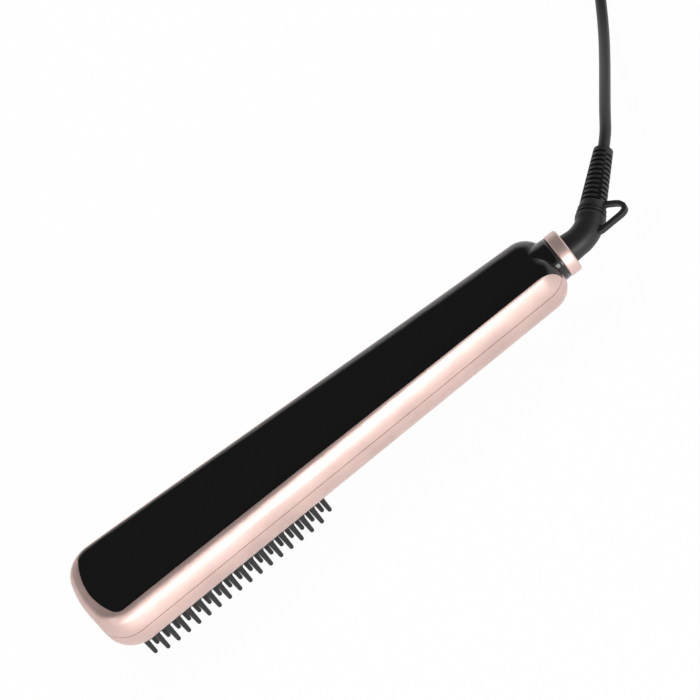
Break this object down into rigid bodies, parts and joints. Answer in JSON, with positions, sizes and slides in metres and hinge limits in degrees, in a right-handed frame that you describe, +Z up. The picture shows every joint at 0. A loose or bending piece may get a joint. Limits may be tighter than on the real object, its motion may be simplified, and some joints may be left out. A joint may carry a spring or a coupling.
{
  "type": "hair straightening brush",
  "caption": "Hair straightening brush: flat rounded head and tapering handle in one line, heated bristles below, press buttons on the underside, swivelling cord with a slotted relief.",
  "frame": {"origin": "on the surface under the bristle tips, at the middle of the length and width of the brush without its cord", "axes": "+X runs along the brush from the head to the cord end, +Z is up out of the black back, the bristles point down along -Z"},
  "size_m": [0.4807, 0.2415, 0.0459],
  "materials": {
    "rose_gold_plastic": "satin metallic paint on plastic",
    "rose_gold_trim": "bright metallic coat on plastic",
    "gloss_black": "high gloss",
    "dark_grey_nylon": "matt, heat resistant",
    "black_rubber": "satin",
    "black_plastic": "matt",
    "smoked_lens": "polished",
    "white_plastic": "matt, inside only",
    "board_green": "circuit board",
    "plate_aluminium": "machined",
    "steel": "plain",
    "contact_brass": "plain",
    "nickel_pins": "nickel plated"
  },
  "bodies": {
    "brush": {"back_shell": "rose_gold_plastic", "front_shell": "rose_gold_plastic", "back_cover": "gloss_black", "neck_sleeve": "gloss_black", "collar_ring": "rose_gold_trim", "bristle_plate": "dark_grey_nylon", "guard_bristles": "dark_grey_nylon", "heated_bristles": "dark_grey_nylon", "heating_plate": "plate_aluminium", "ptc_heaters": "white_plastic", "insulation_sheet": "white_plastic", "heater_clamp": "steel", "thermistor": "black_plastic", "thermal_fuse": "white_plastic", "heater_screws": "steel", "control_board": "board_green", "tact_switches": "black_plastic", "display_module": "black_plastic", "display_window": "smoked_lens", "board_screws": "steel", "case_screws": "steel", "contact_leaves": "contact_brass", "terminal_block": "white_plastic", "mains_leads": "black_rubber", "heater_leads": "black_rubber"},
    "swivel": {"cord_elbow": "black_rubber", "hang_loop": "black_rubber", "swivel_spool": "black_plastic", "retaining_clip": "steel", "slip_rings": "contact_brass", "cord": "black_rubber", "cord_coil": "black_rubber", "cord_tie": "black_rubber", "plug_body": "black_rubber", "plug_pins": "nickel_pins"},
    "power_key": {"power_button": "black_plastic"},
    "plus_key": {"plus_button": "black_plastic"},
    "minus_key": {"minus_button": "black_plastic"}
  },
  "joints": [
    {"name": "cord_swivel", "type": "hinge", "parent": "brush", "child": "swivel", "pos_m": [0.1403, 0, 0.0335], "axis": [1, 0, 0], "continuous": true},
    {"name": "power_press", "type": "slide", "parent": "brush", "child": "power_key", "axis": [-0.0157, 0, 0.9999], "range_m": [0, 0.0005], "stiffness_N_per_m": 400, "springref_m": -0.0005},
    {"name": "plus_press", "type": "slide", "parent": "brush", "child": "plus_key", "axis": [-0.0157, 0, 0.9999], "range_m": [0, 0.0005], "stiffness_N_per_m": 400, "springref_m": -0.0005},
    {"name": "minus_press", "type": "slide", "parent": "brush", "child": "minus_key", "axis": [-0.0157, 0, 0.9999], "range_m": [0, 0.0005], "stiffness_N_per_m": 400, "springref_m": -0.0005}
  ]
}
